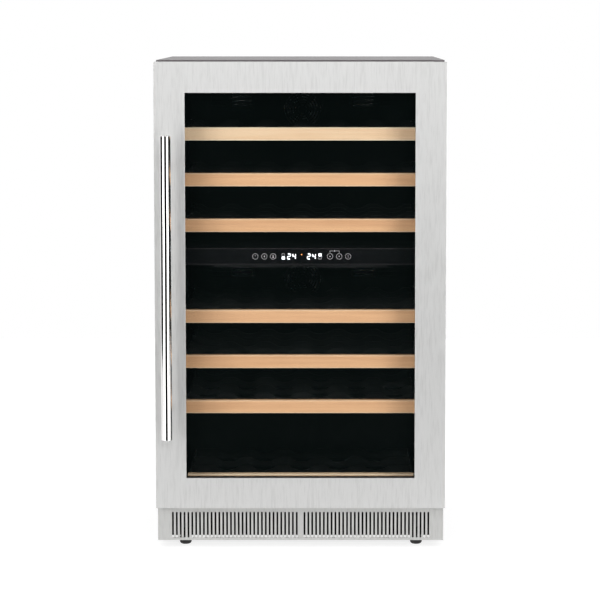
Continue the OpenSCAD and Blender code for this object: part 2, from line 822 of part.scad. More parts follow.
module bush() {
    l = pin_l + 2;
    translate([0, 0, -pocket_h - l]) difference() {
        cylinder(r = bush_r, h = l);
        translate([0, 0, 1.5]) cylinder(r = pin_r + pin_clear, h = l);
    }
}

module hinge_bushes() {
    color([0.85, 0.85, 0.8]) for (end = [0, 1]) at_hinge(end) bush();
}

// A cross-head screw's head, from z = 0 to its height
module screw_head() {
    difference() {
        cylinder(r = screw_r, h = screw_h);
        for (a = [0, 90]) rotate(a)
            translate([-screw_r * 0.55, -0.5, screw_h - 1]) cube([screw_r * 1.1, 1, 2]);
    }
}

module screws() {
    reach = cabinet_front - hinge_depth;
    outer = cabinet_w / 2 - hinge_x;
    color(zinc) {
        for (end = [0, 1]) for (x = [-14, outer - 6])
            at_hinge(end) translate([x, reach - leaf_t + screw_h, -leaf_gap - 7])
                rotate([90, 0, 0]) screw_head();
        for (x = [-1, 1]) for (z = [base_top + 14, step_out - 14, step_out + 16, cabinet_h - 60])
            translate([x * (sheet_half - 24), at_depth(cabinet_back), z]) rotate([-90, 0, 0])
                screw_head();
    }
}

// ---- Feet ----

module foot(i) {
    edge = 6;
    profile = concat([[0, 0]],
        [for (a = [-90:15:0]) [foot_r - edge + edge * cos(a), edge + edge * sin(a)]],
        [[foot_r, foot_gap], [stem_r, foot_gap], [stem_r, stem_top], [0, stem_top]]);
    color([0.04, 0.04, 0.04])
        translate([foot_at(i)[0], at_depth(foot_at(i)[1]), 0]) rotate_extrude() polygon(profile);
}

// ---- Door ----

pane_lap = 12;
pane_half_w = door_w / 2 - face_w + pane_lap;
pane_z = [door_bottom + face_w - pane_lap, door_top - face_w + pane_lap];

// Pocket for a hinge leaf in the door's end, open to the outer edge and the back
module hinge_pockets(from_depth) {
    inner = leaf_half + 2.5;
    for (end = [0, 1]) at_hinge(end)
        translate([-inner, from_depth - hinge_depth, -pocket_h])
            cube([inner + hinge_inset + 1, door_t - from_depth + 1, pocket_h + 1]);
}

module door_frame() {
    outer = door_w / 2;
    edge_return = 22;
    inner = outer - face_w;
    z0 = door_bottom;
    z1 = door_top;
    color(steel) difference() {
        block([-outer, outer], [0, edge_return], [z0, z1]);
        // Hollow behind the face, between the outer return and the inner return
        difference() {
            block([-outer + sheet, outer - sheet], [sheet, edge_return + 1], [z0 + sheet, z1 - sheet]);
            block([-inner - sheet, inner + sheet], [0, glass_recess],
                [z0 + face_w - sheet, z1 - face_w + sheet]);
        }
        block([-inner, inner], [-1, edge_return], [z0 + face_w, z1 - face_w]);
        hinge_pockets(sheet + 0.8);
    }
}

module glass_outer() {
    color(glass_tint) block([-pane_half_w, pane_half_w], [glass_recess, glass_recess + pane_t], pane_z);
}

module glass_inner() {
    d = glass_recess + pane_t + pane_gap;
    color(glass_tint) block([-pane_half_w, pane_half_w], [d, d + pane_t], pane_z);
}

module glass_spacer() {
    w = 10;
    d = [glass_recess + pane_t, glass_recess + pane_t + pane_gap];
    color(black_plastic) difference() {
        block([-pane_half_w, pane_half_w], d, pane_z);
        block([-pane_half_w + w, pane_half_w - w], [d[0] - 1, d[1] + 1],
            [pane_z[0] + w, pane_z[1] - w]);
    }
}

// Plastic profile frame behind the steel face: two stiles and two rails around the glass
module door_inner_frame() {
    outer = door_w / 2 - sheet;
    z0 = door_bottom + sheet;
    z1 = door_top - sheet;
    pane_back = glass_recess + 2 * pane_t + pane_gap;
    lap = 9;
    seat = 0.2;
    stile = pane_half_w - lap;
    color(black_plastic) difference() {
        union() {
            pair([stile, outer], [sheet, door_t], [z0, z1]);
            block([-stile + 0.01, stile - 0.01], [sheet, door_t], [z0, pane_z[0] + lap]);
            block([-stile + 0.01, stile - 0.01], [sheet, door_t], [pane_z[1] - lap, z1]);
        }
        // Rebate for the sealed glass unit and the face's inner return
        block([-pane_half_w - seat, pane_half_w + seat], [0, pane_back + seat],
            [pane_z[0] - seat, pane_z[1] + seat]);
        hinge_pockets(sheet + 0.8);
        for (end = [0, 1]) at_hinge(end) translate([0, 0, -pocket_h - pin_l - 2])
            cylinder(r = bush_r + 0.02, h = pin_l + 3);
        gasket_ring(-4, 0.15);
    }
}

seal_inset = 17;
seal_w = 16;
dart_inset = 6.5;

// The seal's dart (from < 0) or its body, as a ring around the back of the door
module gasket_ring(from, grow = 0) {
    dart = from < 0;
    a = seal_inset + (dart ? dart_inset - grow : 0);
    b = seal_inset + seal_w - (dart ? dart_inset - grow : 0);
    d = dart ? [door_t + from, door_t + 0.01] : [door_t, cabinet_front - 0.4];
    difference() {
        block([-door_w / 2 + a, door_w / 2 - a], d, [door_bottom + a, door_top - a]);
        block([-door_w / 2 + b, door_w / 2 - b], [d[0] - 1, d[1] + 1], [door_bottom + b, door_top - b]);
    }
}

module gasket() {
    color([0.08, 0.08, 0.08]) {
        gasket_ring(0);
        gasket_ring(-3.5);
    }
}

handle_x = -door_w / 2 + handle_inset;
handle_z = (door_bottom + door_top - handle_l) / 2;
handle_depth = -handle_gap - handle_d / 2;

module handle_bar() {
    tube_wall = 1.5;
    cap_t = 4;
    color(steel) translate([handle_x, at_depth(handle_depth), handle_z]) difference() {
        cylinder(r = handle_d / 2, h = handle_l);
        translate([0, 0, -1]) cylinder(r = handle_d / 2 - tube_wall, h = handle_l + 2);
    }
    // Pressed-in end caps
    color(steel) for (z = [handle_z, handle_z + handle_l - cap_t])
        translate([handle_x, at_depth(handle_depth), z])
            cylinder(r = handle_d / 2 - tube_wall, h = cap_t);
}

post_r = 6;

module handle_posts() {
    color(steel) for (z = [handle_z + post_inset, handle_z + handle_l - post_inset]) difference() {
        union() {
            along_y(handle_x, handle_depth, z, post_r, handle_gap + handle_d / 2);
            along_y(handle_x, -3, z, post_r + 3, 3);
        }
        translate([handle_x, at_depth(handle_depth), z - 20]) cylinder(r = handle_d / 2 + 0.02, h = 40);
    }
}

// ---- Assembly ----

side_sheet(-1);  // side_panel_left
side_sheet(1);  // side_panel_right
top_panel();
rear_panel();
rear_grille();
base_plate();
bay_sheet();
kick_plate();
front_frame();
insulation();
liner_upper();
liner_lower();
control_panel();
display_board();
compressor();
compressor_mounts();
condenser();
condenser_fan_frame();
drip_tray();
control_box();
power_inlet();
refrigerant_pipes();
evaporators();
duct_cover(0);  // duct_cover_upper
duct_cover(1);  // duct_cover_lower
circulation_fan_frames();
led_bars();
shelf_rails();
bottom_board();
bottom_rack();
hinge_brackets();
screws();
circulation_fan_rotor(0);  // fan_rotor_upper
circulation_fan_rotor(1);  // fan_rotor_lower
condenser_fan_rotor();
for (i = [0:3]) foot(i);
door_frame();
glass_outer();
glass_inner();
glass_spacer();
door_inner_frame();
gasket();
handle_bar();
handle_posts();
hinge_bushes();
for (i = [0:shelf_count - 1]) shelf(i);
for (i = [0:shelf_count - 1]) shelf_rack(i);
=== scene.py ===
import math

import bmesh
import bpy
import numpy as np
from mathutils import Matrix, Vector


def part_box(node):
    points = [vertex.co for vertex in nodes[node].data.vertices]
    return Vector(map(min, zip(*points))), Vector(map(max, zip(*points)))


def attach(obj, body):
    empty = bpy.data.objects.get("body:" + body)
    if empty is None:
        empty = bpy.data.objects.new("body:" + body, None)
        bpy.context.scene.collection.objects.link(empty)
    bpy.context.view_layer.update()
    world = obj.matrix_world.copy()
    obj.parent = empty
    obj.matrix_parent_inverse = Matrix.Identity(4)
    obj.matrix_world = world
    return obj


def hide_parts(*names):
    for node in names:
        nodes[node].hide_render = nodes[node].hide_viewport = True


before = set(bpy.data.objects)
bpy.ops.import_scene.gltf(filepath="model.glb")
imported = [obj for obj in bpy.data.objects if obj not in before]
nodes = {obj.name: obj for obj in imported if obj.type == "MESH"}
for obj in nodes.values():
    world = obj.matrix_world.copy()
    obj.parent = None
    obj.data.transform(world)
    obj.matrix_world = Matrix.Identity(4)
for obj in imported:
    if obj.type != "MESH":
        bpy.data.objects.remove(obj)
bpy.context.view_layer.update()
mm = 0.001
print("frame loaded:", len(nodes), "nodes")


def gridPiece(name, grid, body, material, closeU=False, closeV=False, capU=False, capV=False, smooth=True):
    # grid is rows by columns of points; neighbours are joined by quads, and a cap is one many-sided face
    rows, cols = grid.shape[:2]
    i = np.arange(rows if closeU else rows - 1)
    j = np.arange(cols if closeV else cols - 1)
    a, b = np.meshgrid(i, j, indexing="ij")
    up, right = (a + 1) % rows, (b + 1) % cols
    quads = np.stack([a * cols + b, a * cols + right, up * cols + right, up * cols + b], -1).reshape(-1, 4)
    faces = quads.tolist()
    if capU:  # the first and the last row are loops
        faces += [list(range(cols))[::-1], list(range((rows - 1) * cols, rows * cols))]
    if capV:
        faces += [[r * cols for r in range(rows)], [r * cols + cols - 1 for r in range(rows)][::-1]]
    return meshPiece(name, grid.reshape(-1, 3), faces, body, material, smooth)


def meshPiece(name, points, faces, body, material, smooth=True):
    mesh = bpy.data.meshes.new(name)
    mesh.from_pydata(np.asarray(points).tolist(), [], faces)
    mesh.validate()
    mesh.materials.append(material)
    mesh.polygons.foreach_set("use_smooth", [smooth] * len(mesh.polygons))
    piece = bpy.data.objects.new(name, mesh)
    bpy.context.scene.collection.objects.link(piece)
    bpy.context.view_layer.objects.active = piece
    faceOutwards(mesh)
    if body:
        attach(piece, body)
    return piece


def faceOutwards(mesh):
    work = bmesh.new()
    work.from_mesh(mesh)
    bmesh.ops.recalc_face_normals(work, faces=work.faces)
    work.to_mesh(mesh)
    work.free()


def latheGrid(profile, sides, axis, centre):
    # the profile's (radius, height) turned round the axis: height along it, angle from 0 to 360 degrees
    profile = np.asarray(profile, float)
    turn = np.linspace(0, 2 * np.pi, sides, endpoint=False)
    r, h = profile[:, :1], profile[:, 1:]
    flat = [r * np.cos(turn), r * np.sin(turn)]
    along = h + 0 * turn
    order = {"z": (flat[0], flat[1], along), "y": (flat[0], along, flat[1])}[axis]
    return np.stack(order, -1) + np.asarray(centre)


def roundedLoop(halfA, halfB, radius, inset, steps, margin):
    # rounded rectangle: each corner is a quarter circle of radius minus inset round the corner's centre,
    # with a point on the flat before it and one after it, margin away
    turn = np.radians(np.arange(4)[:, None] * 90 + np.linspace(0, 90, steps)[None])
    signA, signB = np.array([[1], [-1], [-1], [1]]), np.array([[1], [1], [-1], [-1]])
    reach = max(radius - inset, radius * 0.03)
    a = signA * (halfA - radius) + reach * np.cos(turn)
    b = signB * (halfB - radius) + reach * np.sin(turn)
    step = np.array([[-margin, margin]])
    flatA = a[:, [0, -1]] - step * np.sin(turn[:, [0, -1]])
    flatB = b[:, [0, -1]] + step * np.cos(turn[:, [0, -1]])
    a = np.concatenate([flatA[:, :1], a, flatA[:, 1:]], 1)
    b = np.concatenate([flatB[:, :1], b, flatB[:, 1:]], 1)
    return np.stack([a.ravel(), b.ravel()], -1)


def roundedBar(name, low, high, radius, body, material, steps=6, margin=0.0006):
    # rounded rectangle carried along X, shrinking over a quarter circle at both ends;
    # its attribute "edge" is 1 on the rounded corners and 0 on the flats
    low, high = np.asarray(low, float), np.asarray(high, float)
    middle, half = (low + high) / 2, (high - low) / 2
    bend = np.linspace(np.pi / 2, 0, steps)
    inset = radius * (1 - np.cos(bend))
    x = np.concatenate([low[0] + radius * (1 - np.sin(bend)), high[0] - radius * (1 - np.sin(bend[::-1]))])
    shrink = np.concatenate([inset, inset[::-1]])
    loops = np.stack([roundedLoop(half[1], half[2], radius, s, steps, margin) for s in shrink])
    grid = np.concatenate([np.broadcast_to(x[:, None, None], loops.shape[:2] + (1,)), loops + middle[1:]], -1)
    piece = gridPiece(name, grid, body, material, closeV=True, capU=True)
    # the rounded corners marked here get a painted highlight in the beech
    corner = np.concatenate([[0.0], np.ones(steps), [0.0]])
    edge = piece.data.attributes.new("edge", "FLOAT", "POINT")
    edge.data.foreach_set("value", np.tile(corner, 4 * len(x)))
    return piece


def startMaterial(name, color, metallic, roughness):
    material = bpy.data.materials.new(name)
    material.use_nodes = True
    shader = material.node_tree.nodes["Principled BSDF"]
    shader.inputs["Base Color"].default_value = (*color, 1)
    shader.inputs["Metallic"].default_value = metallic
    shader.inputs["Roughness"].default_value = roughness
    material.diffuse_color = (*color, 1)
    return material, shader


def addNode(material, kind, **settings):
    node = material.node_tree.nodes.new(kind)
    for key, value in settings.items():
        if key in node.inputs:
            node.inputs[key].default_value = value
        else:
            setattr(node, key, value)
    return node


def join(material, source, target):
    material.node_tree.links.new(source, target)


def stretchedNoise(material, stretch, detail=4.0, rough=0.55, warp=0.0):
    # noise on Object coordinates, stretched by the three factors (patterns per metre)
    place = addNode(material, "ShaderNodeTexCoord")
    mapping = addNode(material, "ShaderNodeMapping")
    mapping.inputs["Scale"].default_value = stretch
    noise = addNode(material, "ShaderNodeTexNoise", Scale=1.0, Detail=detail, Roughness=rough,
                    Distortion=warp)
    join(material, place.outputs["Object"], mapping.inputs["Vector"])
    join(material, mapping.outputs["Vector"], noise.inputs["Vector"])
    return noise.outputs["Fac"]


def spread(material, fac, low, high, fromLow=0.3, fromHigh=0.7):
    remap = addNode(material, "ShaderNodeMapRange")
    for key, value in {"From Min": fromLow, "From Max": fromHigh, "To Min": low, "To Max": high}.items():
        remap.inputs[key].default_value = value
    join(material, fac, remap.inputs["Value"])
    return remap.outputs["Result"]


def twoTone(material, fac, first, second, fromLow=0.35, fromHigh=0.65):
    ramp = addNode(material, "ShaderNodeValToRGB")
    ramp.color_ramp.elements[0].position = fromLow
    ramp.color_ramp.elements[1].position = fromHigh
    ramp.color_ramp.elements[0].color = (*first, 1)
    ramp.color_ramp.elements[1].color = (*second, 1)
    join(material, fac, ramp.inputs["Fac"])
    return ramp.outputs["Color"]


def addBump(material, shader, fac, depth, strength=1.0, below=None):
    bump = addNode(material, "ShaderNodeBump", Strength=strength, Distance=depth)
    join(material, fac, bump.inputs["Height"])
    if below:
        join(material, below.outputs["Normal"], bump.inputs["Normal"])
    join(material, bump.outputs["Normal"], shader.inputs["Normal"])
    return bump


def makeFinish(name, color, metallic=0.0, roughness=0.5, grain=900, depth=0.00004, tone=0.12,
               roughSpread=0.08, stretch=(1, 1, 1), specular=0.5, coat=0.0):
    # moulded, painted or plated surface: fine grain in the bump, slow changes in tone and roughness
    material, shader = startMaterial(name, color, metallic, roughness)
    shader.inputs["Specular IOR Level"].default_value = specular
    shader.inputs["Coat Weight"].default_value = coat
    fine = stretchedNoise(material, tuple(grain * s for s in stretch), detail=3)
    slow = stretchedNoise(material, tuple(9 * s for s in stretch), detail=5)
    darker = tuple(c * (1 - tone) for c in color)
    lighter = tuple(min(1, c * (1 + tone)) for c in color)
    join(material, twoTone(material, slow, darker, lighter), shader.inputs["Base Color"])
    join(material, spread(material, slow, roughness - roughSpread, roughness + roughSpread),
         shader.inputs["Roughness"])
    addBump(material, shader, fine, depth)
    return material


brushed = {"color": (0.595, 0.595, 0.59), "roughness": 0.52, "lines": 2200, "streaks": 340, "length": 34,
           "depth": 0.000008}
plinthSteel = {**brushed, "color": (0.52, 0.52, 0.51)}


def makeBrushed(name, s, tone=0.055):
    # upright scratches: a fine noise and a coarser one, both stretched along Z (patterns per metre)
    material, shader = startMaterial(name, s["color"], 1.0, s["roughness"])
    fine = stretchedNoise(material, (s["lines"], s["lines"], s["length"]), detail=2)
    wide = stretchedNoise(material, (s["streaks"], s["streaks"], s["length"] * 0.8), detail=3)
    both = addNode(material, "ShaderNodeMath", operation="ADD")
    join(material, fine, both.inputs[0])
    join(material, wide, both.inputs[1])
    dark = tuple(c * (1 - tone) for c in s["color"])
    light = tuple(min(1, c * (1 + tone)) for c in s["color"])
    join(material, twoTone(material, both.outputs[0], dark, light, 0.8, 1.2), shader.inputs["Base Color"])
    rough = spread(material, fine, s["roughness"] * 0.9, s["roughness"] * 1.1)
    join(material, rough, shader.inputs["Roughness"])
    addBump(material, shader, fine, s["depth"], 0.4)
    return material


# the "edge" colours are painted highlights for the boards' rounded edges
beech = {"light": (0.97, 0.715, 0.46), "dark": (0.88, 0.585, 0.35), "fleck": (0.62, 0.36, 0.2),
         "edge": (1.0, 0.86, 0.62), "roughness": 0.5}
# a darker copy of the same beech: painted shade on shelves 2 to 6, against the paler copy painted as light on
# shelf 1 and the bottom board
shadedBeech = {**beech, "light": (0.85, 0.5, 0.265), "dark": (0.74, 0.41, 0.205), "edge": (0.93, 0.66, 0.42)}


def makeBeech(name, s):
    # long grain along X, slow bands of tone, the short dark flecks of beech, and a painted highlight in the
    # paler "edge" colour on the rounded edges
    material, shader = startMaterial(name, s["light"], 0.0, s["roughness"])
    grain = stretchedNoise(material, (5, 260, 260), detail=6, rough=0.6, warp=0.4)
    bands = stretchedNoise(material, (1.6, 38, 38), detail=3, warp=0.8)
    flecks = stretchedNoise(material, (170, 1500, 1500), detail=2)
    mixed = addNode(material, "ShaderNodeMath", operation="MULTIPLY_ADD")
    mixed.inputs[1].default_value = 0.6
    join(material, grain, mixed.inputs[0])
    join(material, bands, mixed.inputs[2])
    wood = twoTone(material, mixed.outputs[0], s["dark"], s["light"], 0.62, 0.92)
    speck = addNode(material, "ShaderNodeMix", data_type="RGBA")
    join(material, spread(material, flecks, 0.0, 0.45, 0.64, 0.74), speck.inputs[0])
    join(material, wood, speck.inputs[6])
    speck.inputs[7].default_value = (*s["fleck"], 1)
    # painted highlight: the rounded edges are mixed towards the paler "edge" colour
    edgeHighlight = addNode(material, "ShaderNodeAttribute", attribute_name="edge")
    pale = addNode(material, "ShaderNodeMix", data_type="RGBA")
    join(material, edgeHighlight.outputs["Fac"], pale.inputs[0])
    join(material, speck.outputs[2], pale.inputs[6])
    pale.inputs[7].default_value = (*s["edge"], 1)
    join(material, pale.outputs[2], shader.inputs["Base Color"])
    rough = spread(material, grain, s["roughness"] - 0.07, s["roughness"] + 0.08)
    join(material, rough, shader.inputs["Roughness"])
    low = addBump(material, shader, grain, 0.00006, 0.5)
    addBump(material, shader, flecks, 0.00003, 0.3, low)
    return material


def makeSpangled(name, color, roughness):
    # hot-dip galvanised sheet: crystals a few millimetres wide, each with its own tone
    material, shader = startMaterial(name, color, 0.9, roughness)
    place = addNode(material, "ShaderNodeTexCoord")
    cells = addNode(material, "ShaderNodeTexVoronoi", Scale=130.0, Randomness=1.0)
    join(material, place.outputs["Object"], cells.inputs["Vector"])
    tone = addNode(material, "ShaderNodeSeparateColor")
    join(material, cells.outputs["Color"], tone.inputs["Color"])
    darker = tuple(c * 0.82 for c in color)
    join(material, twoTone(material, tone.outputs[0], darker, color, 0.0, 1.0), shader.inputs["Base Color"])
    rough = spread(material, tone.outputs[1], roughness - 0.1, roughness + 0.1, 0, 1)
    join(material, rough, shader.inputs["Roughness"])
    return material


def makeGlass(name, color, alpha, roughness):
    material, shader = startMaterial(name, color, 0.0, roughness)
    shader.inputs["Alpha"].default_value = alpha
    shader.inputs["IOR"].default_value = 1.5
    smear = stretchedNoise(material, (7, 7, 3), detail=3)
    join(material, spread(material, smear, roughness, roughness + 0.05), shader.inputs["Roughness"])
    material.surface_render_method = "BLENDED"
    return material


def makeLit(name, color, strength):
    material, shader = startMaterial(name, color, 0.0, 0.4)
    shader.inputs["Emission Color"].default_value = (*color, 1)
    glow = stretchedNoise(material, (300, 300, 300), detail=1)
    level = spread(material, glow, strength * 0.93, strength * 1.07)
    join(material, level, shader.inputs["Emission Strength"])
    return material


finishes = {
    "brushedSteel": makeBrushed("brushedSteel", brushed),
    "plinthSteel": makeBrushed("plinthSteel", plinthSteel),
    "handleSteel": makeBrushed("handleSteel", {**brushed, "color": (0.8, 0.795, 0.785), "roughness": 0.1,
                                               "lines": 2600, "depth": 0.000001}, tone=0.02),
    "blackSheet": makeFinish("blackSheet", (0.016, 0.0145, 0.0155), roughness=0.5, grain=1400, depth=0.00003,
                             tone=0.05, roughSpread=0.03, specular=0.24),
    "blackCoat": makeFinish("blackCoat", (0.005, 0.006, 0.006), roughness=0.5, grain=1100, depth=0.00005,
                            specular=0.2),
    # the top's black paint made much lighter than the sides': a painted sheen for the backdrop reflected at a
    # grazing view
    "topSheetSheen": makeFinish("topSheetSheen", (0.125, 0.112, 0.118), roughness=0.45, grain=1400, depth=0.00003,
                           tone=0.05, roughSpread=0.03, specular=0.4),
    # black paint on the base plate and the bay sheet, made darker and duller than the other black paint as
    # painted shade for the air channel behind the kick plate's slots
    "blackPaintAndShade": makeFinish("blackPaintAndShade", (0.003, 0.003, 0.003), roughness=0.8, grain=1100, depth=0.00005,
                            specular=0.03),
    "panelLine": makeFinish("panelLine", (0.034, 0.027, 0.03), roughness=0.4, grain=900, depth=0.00001,
                            specular=0.3),
    "blackPlastic": makeFinish("blackPlastic", (0.012, 0.012, 0.013), roughness=0.55, grain=1600,
                               depth=0.00005),
    "linerPlastic": makeFinish("linerPlastic", (0.004, 0.0055, 0.0055), roughness=0.6, grain=1200,
                               depth=0.00004, specular=0.15),
    "panelGloss": makeFinish("panelGloss", (0.003, 0.0028, 0.0036), roughness=0.6, grain=300, depth=0.000003,
                             roughSpread=0.03, specular=0.05),
    "foam": makeFinish("foam", (0.85, 0.78, 0.55), roughness=0.9, grain=260, depth=0.0005),
    "spacerMetal": makeFinish("spacerMetal", (0.02, 0.02, 0.02), metallic=0.6, roughness=0.4),
    "blackRubber": makeFinish("blackRubber", (0.012, 0.012, 0.012), roughness=0.7, grain=1500, depth=0.00006),
    "finAluminium": makeFinish("finAluminium", (0.7, 0.71, 0.72), metallic=1.0, roughness=0.35, grain=700),
    "zincPlate": makeFinish("zincPlate", (0.55, 0.56, 0.55), metallic=1.0, roughness=0.38, grain=1200),
    "compressorBlack": makeFinish("compressorBlack", (0.012, 0.012, 0.013), roughness=0.3, grain=240,
                                  depth=0.0001, coat=0.4),
    "copper": makeFinish("copper", (0.75, 0.36, 0.2), metallic=1.0, roughness=0.3, grain=500, tone=0.2),
    "trayPlastic": makeFinish("trayPlastic", (0.7, 0.7, 0.67), roughness=0.5),
    "boxPlastic": makeFinish("boxPlastic", (0.62, 0.62, 0.6), roughness=0.5),
    "boardGreen": makeFinish("boardGreen", (0.02, 0.12, 0.05), roughness=0.4, grain=400),
    "ledDiffuser": makeFinish("ledDiffuser", (0.012, 0.012, 0.013), roughness=0.5, grain=1500, specular=0.2),
    "bushPlastic": makeFinish("bushPlastic", (0.75, 0.74, 0.68), roughness=0.4),
    "litBeechWood": makeBeech("litBeechWood", beech),
    "shadedBeechWood": makeBeech("shadedBeechWood", shadedBeech),
    "zincSheet": makeSpangled("zincSheet", (0.5, 0.51, 0.52), 0.45),
    "tintedGlass": makeGlass("tintedGlass", (0.004, 0.008, 0.008), 0.08, 0.03),
    "clearGlass": makeGlass("clearGlass", (0.02, 0.03, 0.028), 0.03, 0.03),
    "litWhite": makeLit("litWhite", (0.9, 0.95, 1.0), 2.6),
    "litOrange": makeLit("litOrange", (1.0, 0.42, 0.12), 1.8),
    # grey print with a faint glow: the glow is painted light, the grey is the print's own colour
    "printGreyGlow": makeLit("printGreyGlow", (0.62, 0.6, 0.62), 0.3),
}
print("materials made:", len(finishes))

nodeFinish = {
    "brushedSteel": ["door_frame"],
    "plinthSteel": ["kick_plate"],
    "handleSteel": ["handle_bar", "handle_posts"],
    "blackSheet": ["side_panel_left", "side_panel_right"],
    "topSheetSheen": ["top_panel"],
    "blackPaintAndShade": ["base_plate", "bay_sheet"],
    "blackCoat": ["bottom_rack", "shelf_rails"] + [f"shelf_{i}_rack" for i in range(1, 7)],
    "blackPlastic": ["rear_grille", "front_frame", "condenser_fan_frame", "power_inlet",
                     "circulation_fan_frames", "fan_rotor_upper", "fan_rotor_lower", "condenser_fan_rotor",
                     "door_inner_frame"],
    "linerPlastic": ["liner_upper", "liner_lower", "duct_cover_upper", "duct_cover_lower"],
    "panelGloss": ["control_panel"],
    "foam": ["insulation"],
    "spacerMetal": ["glass_spacer"],
    "blackRubber": ["compressor_mounts", "gasket"] + [f"foot_{a}_{b}" for a in ("front", "rear")
                                                      for b in ("left", "right")],
    "finAluminium": ["condenser", "evaporators"],
    "zincPlate": ["hinge_brackets", "screws"],
    "compressorBlack": ["compressor"],
    "copper": ["refrigerant_pipes"],
    "trayPlastic": ["drip_tray"],
    "boxPlastic": ["control_box"],
    "boardGreen": ["display_board"],
    "ledDiffuser": ["led_bars"],
    "bushPlastic": ["hinge_bushes"],
    # one beech in two copies: the paler one is painted light, the darker one painted shade
    "litBeechWood": ["shelf_1", "bottom_board"],
    "shadedBeechWood": [f"shelf_{i}" for i in range(2, 7)],
    "zincSheet": ["rear_panel"],
    "tintedGlass": ["glass_outer"],
    "clearGlass": ["glass_inner"],
}
for finish, names in nodeFinish.items():
    for name in names:
        slots = nodes[name].material_slots
        if not slots:
            nodes[name].data.materials.append(finishes[finish])
        for one in slots:
            one.material = finishes[finish]

softEdges = {"door_frame": 0.7, "side_panel_left": 0.8, "side_panel_right": 0.8, "top_panel": 0.8,
             "door_inner_frame": 0.8, "control_box": 1.2, "kick_plate": 0.4, "hinge_brackets": 0.3}
for name, radius in softEdges.items():
    weld = nodes[name].modifiers.new("weld", "WELD")
    weld.merge_threshold = 0.00001
    bevel = nodes[name].modifiers.new("softEdge", "BEVEL")
    bevel.width = radius * mm
    bevel.segments = 2
    bevel.limit_method = "ANGLE"
    bevel.angle_limit = math.radians(40)
    bevel.harden_normals = True
print("finishes on the frame's own nodes")


boards = {"edge": 1.6 * mm, "names": ["bottom_board"] + [f"shelf_{i}" for i in range(1, 7)]}
for name in boards["names"]:
    low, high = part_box(name)
    body = "cabinet" if name == "bottom_board" else "shelf_tray_" + name[-1]
    wood = "litBeechWood" if name in nodeFinish["litBeechWood"] else "shadedBeechWood"
    board = roundedBar("front_of_" + name, low, high, boards["edge"], body, finishes[wood])
    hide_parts(name)
print("boards made")


handle = {"chamfer": 0.8 * mm, "capInset": 0.6 * mm, "capWidth": 1.6 * mm, "sides": 96,
          "flange": 3 * mm, "stemNarrower": 3 * mm, "fillet": 0.8 * mm, "axisGap": 0.2 * mm,
          "sharp": math.radians(35)}


def makeHandleBar(s):
    # a tube with a chamfered rim and a cap set slightly in: its outline is turned round Z
    low, high = (np.array(v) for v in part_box("handle_bar"))
    r, half = (high[0] - low[0]) / 2, (high[2] - low[2]) / 2
    rim, lip = r - s["capWidth"], s["axisGap"]
    end = [(lip, half - s["capInset"]), (rim - lip, half - s["capInset"]), (rim, half - s["capInset"] + lip),
           (rim, half - lip), (rim + lip, half), (r - s["chamfer"], half), (r, half - s["chamfer"])]
    outline = [(a, -b) for a, b in end] + end[::-1]
    bar = gridPiece("grip_bar", latheGrid(outline, s["sides"], "z", (low + high) / 2), "door",
                    finishes["handleSteel"], closeV=True, capU=True)
    bar.data.set_sharp_from_angle(angle=s["sharp"])
    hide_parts("handle_bar")
    return (low + high) / 2, r


def makeHandlePosts(s, barCentre, barRadius):
    # a stem with a filleted foot: its outline is turned round Y, from inside the bar to the door's face
    low, high = (np.array(v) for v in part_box("handle_posts"))
    wide, foot = (high[0] - low[0]) / 2, high[1]
    stem, top = wide - s["stemNarrower"], high[1] - s["flange"]
    bend = np.linspace(0, np.pi / 2, 6)
    fillet = np.stack([stem + s["fillet"] * (1 - np.cos(bend)), top - s["fillet"] * (1 - np.sin(bend))], -1)
    crown = np.stack([wide - s["fillet"] * (1 - np.sin(bend)), top + s["fillet"] * (1 - np.cos(bend))], -1)
    start = barCentre[1] + barRadius * 0.75
    lip = s["axisGap"]
    outline = np.concatenate([[(lip, start), (stem, start)], fillet, crown, [(wide, foot), (lip, foot)]])
    for k, z in enumerate((low[2] + wide, high[2] - wide)):
        grid = latheGrid(outline, 48, "y", (barCentre[0], 0, z))
        post = gridPiece(f"grip_post_{k + 1}", grid, "door", finishes["handleSteel"], closeV=True, capU=True)
        post.data.set_sharp_from_angle(angle=s["sharp"])
    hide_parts("handle_posts")


barCentre, barRadius = makeHandleBar(handle)
makeHandlePosts(handle, barCentre, barRadius)
print("handle made")


seal = {"ridge": 0.35 * mm, "width": 16 * mm, "ripples": 4}


def makeSeal(s):
    # a bellows outline (inward distance, depth) carried round the door's four corners, with mitred joints
    low, high = (np.array(v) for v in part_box("gasket"))
    width = s["width"]
    back, front = high[1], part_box("door_inner_frame")[1][1]
    deep = back - front
    u = np.array([0, 0.02, 0.04, 0.1, 0.2, 0.3, 0.36, 0.42, 0.5, 0.58, 0.64, 0.7, 0.8, 0.9, 0.96, 0.98, 1.0])
    crest = deep * (1 - 0.16 * (2 * u - 1) ** 8)
    ripple = s["ridge"] * np.cos(u * 2 * np.pi * s["ripples"])
    outer = np.stack([u * width, front + crest - s["ridge"] + ripple], -1)
    side = np.array([(1.0, 0.62), (0.9, 0.5), (0.9, 0.36), (1.0, 0.26), (1.0, 0.0)])
    right = np.stack([side[:, 0] * width, front + side[:, 1] * deep], -1)
    left = np.stack([(1 - side[::-1, 0]) * width, front + side[::-1, 1] * deep], -1)
    outline = np.concatenate([outer, right, left])
    cornerX = np.array([low[0], high[0], high[0], low[0]])
    cornerZ = np.array([low[2], low[2], high[2], high[2]])
    inX = np.array([1, -1, -1, 1])
    inZ = np.array([1, 1, -1, -1])
    grid = np.stack([cornerX[:, None] + inX[:, None] * outline[None, :, 0],
                     np.broadcast_to(outline[None, :, 1], (4, len(outline))),
                     cornerZ[:, None] + inZ[:, None] * outline[None, :, 0]], -1)
    ring = gridPiece("door_seal", grid, "door", finishes["blackRubber"], closeU=True, closeV=True,
                     smooth=False)
    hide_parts("gasket")


makeSeal(seal)
print("seal made")


